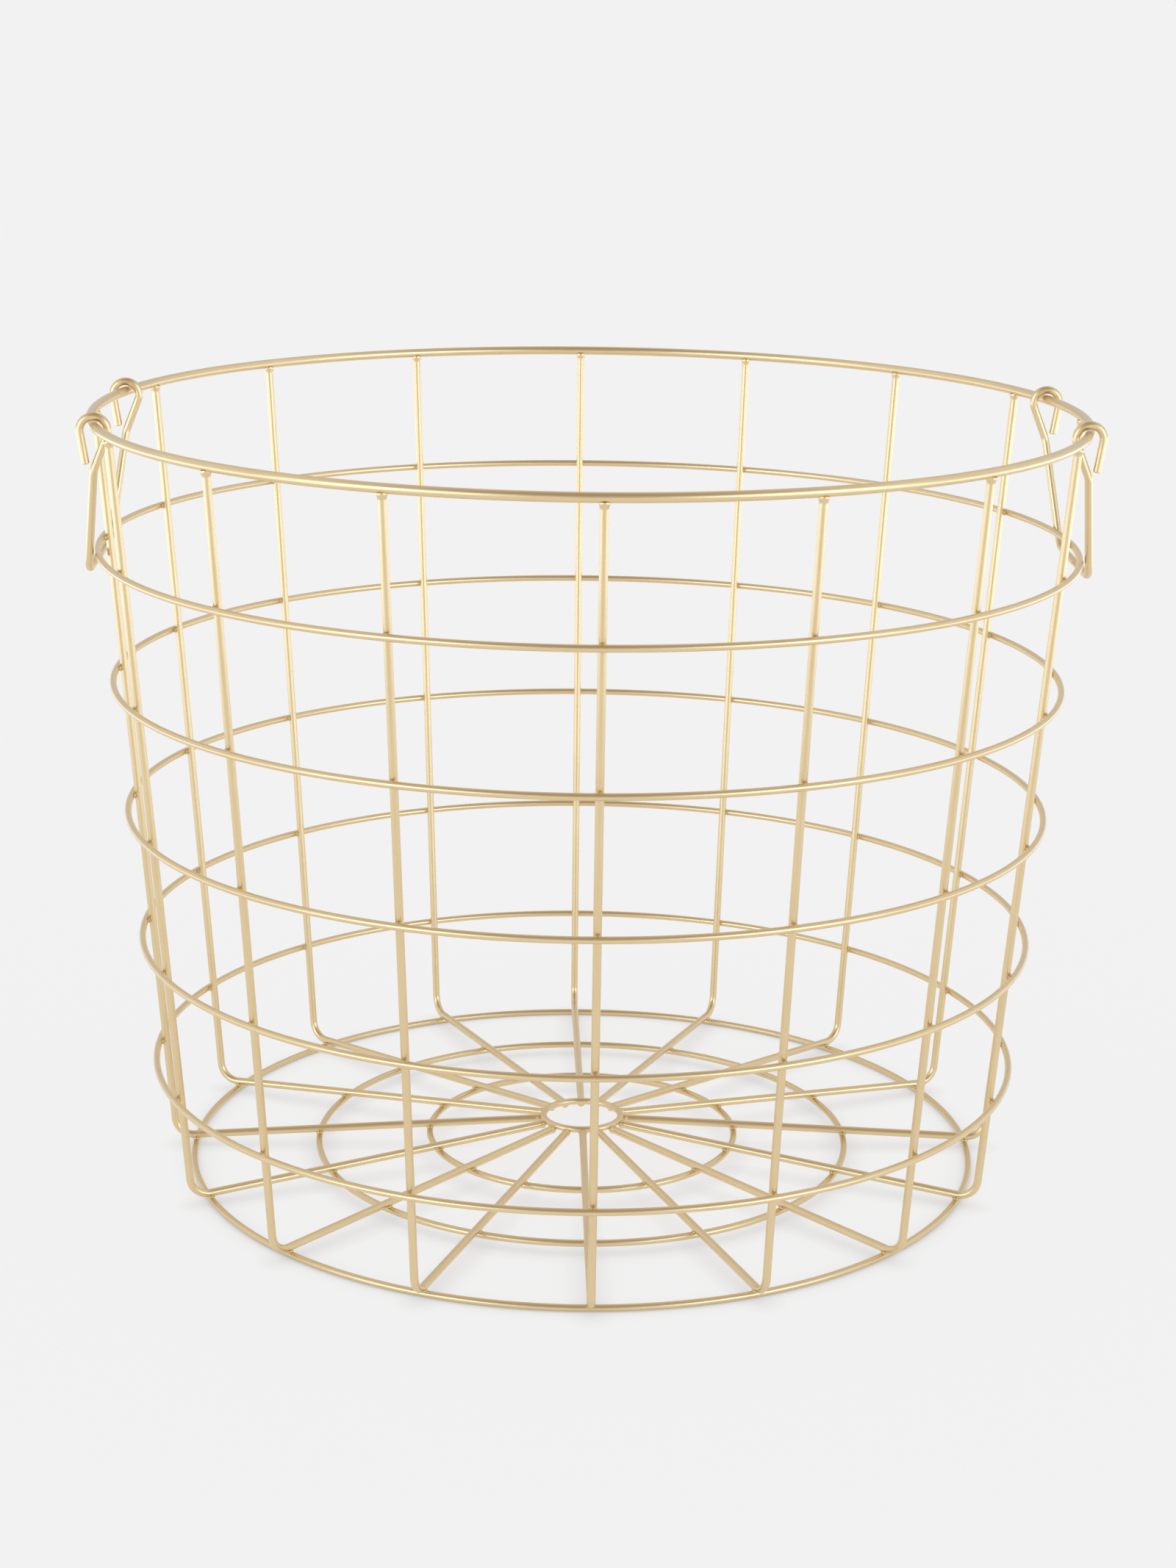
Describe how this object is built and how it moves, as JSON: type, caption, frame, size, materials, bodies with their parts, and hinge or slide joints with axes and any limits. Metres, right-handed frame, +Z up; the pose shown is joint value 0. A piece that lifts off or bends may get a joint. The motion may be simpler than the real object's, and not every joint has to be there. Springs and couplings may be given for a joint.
{
  "type": "wire basket",
  "caption": "Round tapered basket of gold-coloured steel wire, with hoops outside L-bent ribs and a drop handle hooked over the rim at each side.",
  "frame": {"origin": "on the floor under the centre of the basket, where the base ring rests", "axes": "+Z up along the basket's axis, handles at -X and +X, -Y towards the viewer of the picture"},
  "size_m": [0.4037, 0.4038, 0.3237],
  "materials": {
    "basket_wire": "satin champagne-gold coating on welded steel wire",
    "handle_wire": "satin champagne-gold coating on bent steel wire"
  },
  "bodies": {
    "basket": {"rim": "basket_wire", "hoop_1": "basket_wire", "hoop_2": "basket_wire", "hoop_3": "basket_wire", "hoop_4": "basket_wire", "hoop_5": "basket_wire", "base_ring": "basket_wire", "outer_floor_ring": "basket_wire", "inner_floor_ring": "basket_wire", "centre_ring": "basket_wire", "rib_01": "basket_wire", "rib_02": "basket_wire", "rib_03": "basket_wire", "rib_04": "basket_wire", "rib_05": "basket_wire", "rib_06": "basket_wire", "rib_07": "basket_wire", "rib_08": "basket_wire", "rib_09": "basket_wire", "rib_10": "basket_wire", "rib_11": "basket_wire", "rib_12": "basket_wire", "rib_13": "basket_wire", "rib_14": "basket_wire", "rib_15": "basket_wire", "rib_16": "basket_wire"},
    "left_handle": {"handle_left": "handle_wire"},
    "right_handle": {"handle_right": "handle_wire"}
  },
  "joints": [
    {"name": "left_handle_hinge", "type": "hinge", "parent": "basket", "child": "left_handle", "pos_m": [-0.19365, 0, 0.3181], "axis": [0, 1, 0], "range_deg": [0, 352]},
    {"name": "right_handle_hinge", "type": "hinge", "parent": "basket", "child": "right_handle", "pos_m": [0.19365, 0, 0.3181], "axis": [0, -1, 0], "range_deg": [0, 352]}
  ]
}
